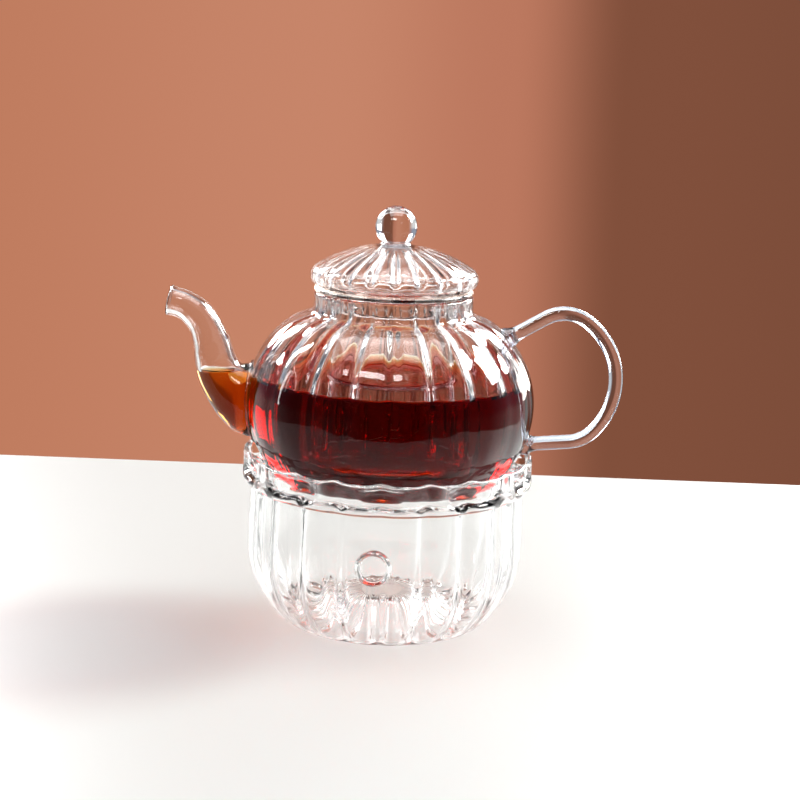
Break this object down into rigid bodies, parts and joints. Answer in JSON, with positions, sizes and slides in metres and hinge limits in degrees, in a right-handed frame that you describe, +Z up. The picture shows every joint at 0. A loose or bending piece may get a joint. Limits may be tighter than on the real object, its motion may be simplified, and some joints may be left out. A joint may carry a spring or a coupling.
{
  "type": "glass teapot with warmer",
  "caption": "Rib-moulded clear glass teapot with S-curved spout, loop handle, glass infuser and ball-knobbed lid, standing in the dented collar of a glass warmer.",
  "frame": {"origin": "on the pot's axis, at the plane of the warmer's foot", "axes": "+Z up along the pot's axis, +X towards the handle, -X towards the spout, the warmer's air hole on the -Y side"},
  "size_m": [0.1991, 0.127, 0.1822],
  "materials": {
    "clear_glass": "clear rib-moulded borosilicate glass, polished",
    "warmer_glass": "clear rib-moulded borosilicate glass, polished",
    "infuser_glass": "thin clear glass, polished",
    "rod_glass": "solid drawn glass rod, polished",
    "weld_glass": "flame-melted glass seam, slightly rippled",
    "tea": "black tea, clear liquid, deep red in the pot and amber in the spout"
  },
  "bodies": {
    "warmer": {"warmer_base": "warmer_glass", "warmer_bowl": "warmer_glass", "warmer_collar": "warmer_glass", "vent_ring": "warmer_glass"},
    "pot": {"pot_bowl": "clear_glass", "pot_shoulder": "clear_glass", "pot_neck": "clear_glass", "spout_tube": "clear_glass", "spout_root": "clear_glass", "spout_joint": "weld_glass", "handle": "rod_glass", "handle_top_joint": "weld_glass", "handle_bottom_joint": "weld_glass"},
    "infuser_cup": {"infuser_base": "infuser_glass", "infuser_wall": "infuser_glass", "infuser_rim": "infuser_glass"},
    "lid": {"lid_dome": "clear_glass", "lid_flange": "clear_glass", "knob_stem": "weld_glass", "lid_knob": "rod_glass"}
  },
  "joints": [
    {"name": "pot_lift", "type": "slide", "parent": "warmer", "child": "pot", "axis": [0, 0, 1], "range_m": [0, 0.03]},
    {"name": "infuser_lift", "type": "slide", "parent": "pot", "child": "infuser_cup", "axis": [0, 0, 1], "range_m": [0, 0.085]},
    {"name": "lid_lift", "type": "slide", "parent": "infuser_cup", "child": "lid", "axis": [0, 0, 1], "range_m": [0, 0.03]}
  ]
}
